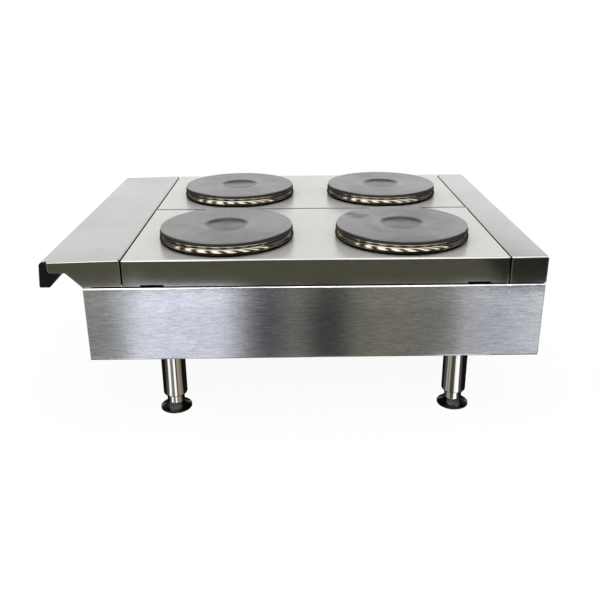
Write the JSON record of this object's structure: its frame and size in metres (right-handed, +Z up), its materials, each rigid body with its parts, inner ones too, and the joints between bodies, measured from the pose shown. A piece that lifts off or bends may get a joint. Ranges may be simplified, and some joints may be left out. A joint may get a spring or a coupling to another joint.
{
  "type": "electric hot plate",
  "caption": "Countertop electric hot plate with round cast-iron plates, a landing ledge, a control panel and adjustable legs, for heating pans.",
  "frame": {"origin": "middle of the footprint on the surface that the feet stand on", "axes": "+X to the operator's right, +Y from the landing ledge and controls at the front to the back, +Z up"},
  "size_m": [0.61, 0.793, 0.299],
  "materials": {
    "brushed_stainless": "satin, brushed along each panel",
    "polished_stainless": "polished",
    "cast_iron": "fine satin, turned",
    "chrome": "polished",
    "dark_chrome": "polished, dark",
    "black_plastic": "fine moulded grain",
    "zinc_steel": "zinc plated",
    "ceramic": "unglazed white ceramic",
    "amber_lens": "clear moulded lens",
    "white_print": "screen print"
  },
  "bodies": {
    "cabinet": {"side_panel_right": "brushed_stainless", "side_panel_left": "brushed_stainless", "control_panel": "brushed_stainless", "rear_panel": "brushed_stainless", "base_panel": "zinc_steel", "centre_rail": "zinc_steel", "landing_ledge": "brushed_stainless", "ledge_undertray": "brushed_stainless", "ledge_cap_right": "black_plastic", "ledge_cap_left": "black_plastic", "rear_strip": "brushed_stainless", "deck_panel_right": "brushed_stainless", "deck_panel_left": "brushed_stainless", "heat_shield_right": "zinc_steel", "heat_shield_left": "zinc_steel", "iron_plate_front_right": "cast_iron", "iron_plate_back_right": "cast_iron", "iron_plate_front_left": "cast_iron", "iron_plate_back_left": "cast_iron", "spill_ring_front_right": "polished_stainless", "spill_ring_back_right": "polished_stainless", "spill_ring_front_left": "polished_stainless", "spill_ring_back_left": "polished_stainless", "clamp_bar_front_right": "zinc_steel", "clamp_bar_back_right": "zinc_steel", "clamp_bar_front_left": "zinc_steel", "clamp_bar_back_left": "zinc_steel", "plate_terminal_front_right": "ceramic", "plate_terminal_back_right": "ceramic", "plate_terminal_front_left": "ceramic", "plate_terminal_back_left": "ceramic", "heat_switch_1": "ceramic", "heat_switch_2": "ceramic", "heat_switch_3": "ceramic", "heat_switch_4": "ceramic", "indicator_lamp": "amber_lens", "leg_front_right": "chrome", "leg_front_left": "chrome", "leg_back_right": "chrome", "leg_back_left": "chrome", "leg_plate_front_right": "zinc_steel", "leg_plate_front_left": "zinc_steel", "leg_plate_back_right": "zinc_steel", "leg_plate_back_left": "zinc_steel", "cable_gland": "black_plastic", "mains_terminal_block": "ceramic"},
    "control_1": {"knob_1": "black_plastic", "switch_shaft_1": "zinc_steel"},
    "control_2": {"knob_2": "black_plastic", "switch_shaft_2": "zinc_steel"},
    "control_3": {"knob_3": "black_plastic", "switch_shaft_3": "zinc_steel"},
    "control_4": {"knob_4": "black_plastic", "switch_shaft_4": "zinc_steel"},
    "levelling_foot_front_right": {"foot_front_right": "dark_chrome"},
    "levelling_foot_front_left": {"foot_front_left": "dark_chrome"},
    "levelling_foot_back_right": {"foot_back_right": "dark_chrome"},
    "levelling_foot_back_left": {"foot_back_left": "dark_chrome"}
  },
  "joints": [
    {"name": "knob_1_turn", "type": "hinge", "parent": "cabinet", "child": "control_1", "pos_m": [-0.18, -0.33003, 0.168], "axis": [0, 1, 0], "range_deg": [0, 300]},
    {"name": "knob_2_turn", "type": "hinge", "parent": "cabinet", "child": "control_2", "pos_m": [-0.06, -0.33003, 0.168], "axis": [0, 1, 0], "range_deg": [0, 300]},
    {"name": "knob_3_turn", "type": "hinge", "parent": "cabinet", "child": "control_3", "pos_m": [0.06, -0.33003, 0.168], "axis": [0, 1, 0], "range_deg": [0, 300]},
    {"name": "knob_4_turn", "type": "hinge", "parent": "cabinet", "child": "control_4", "pos_m": [0.18, -0.33003, 0.168], "axis": [0, 1, 0], "range_deg": [0, 300]},
    {"name": "foot_front_right_screw", "type": "slide", "parent": "cabinet", "child": "levelling_foot_front_right", "axis": [0, 0, -1], "range_m": [0, 0.025]},
    {"name": "foot_front_left_screw", "type": "slide", "parent": "cabinet", "child": "levelling_foot_front_left", "axis": [0, 0, -1], "range_m": [0, 0.025]},
    {"name": "foot_back_right_screw", "type": "slide", "parent": "cabinet", "child": "levelling_foot_back_right", "axis": [0, 0, -1], "range_m": [0, 0.025]},
    {"name": "foot_back_left_screw", "type": "slide", "parent": "cabinet", "child": "levelling_foot_back_left", "axis": [0, 0, -1], "range_m": [0, 0.025]}
  ]
}
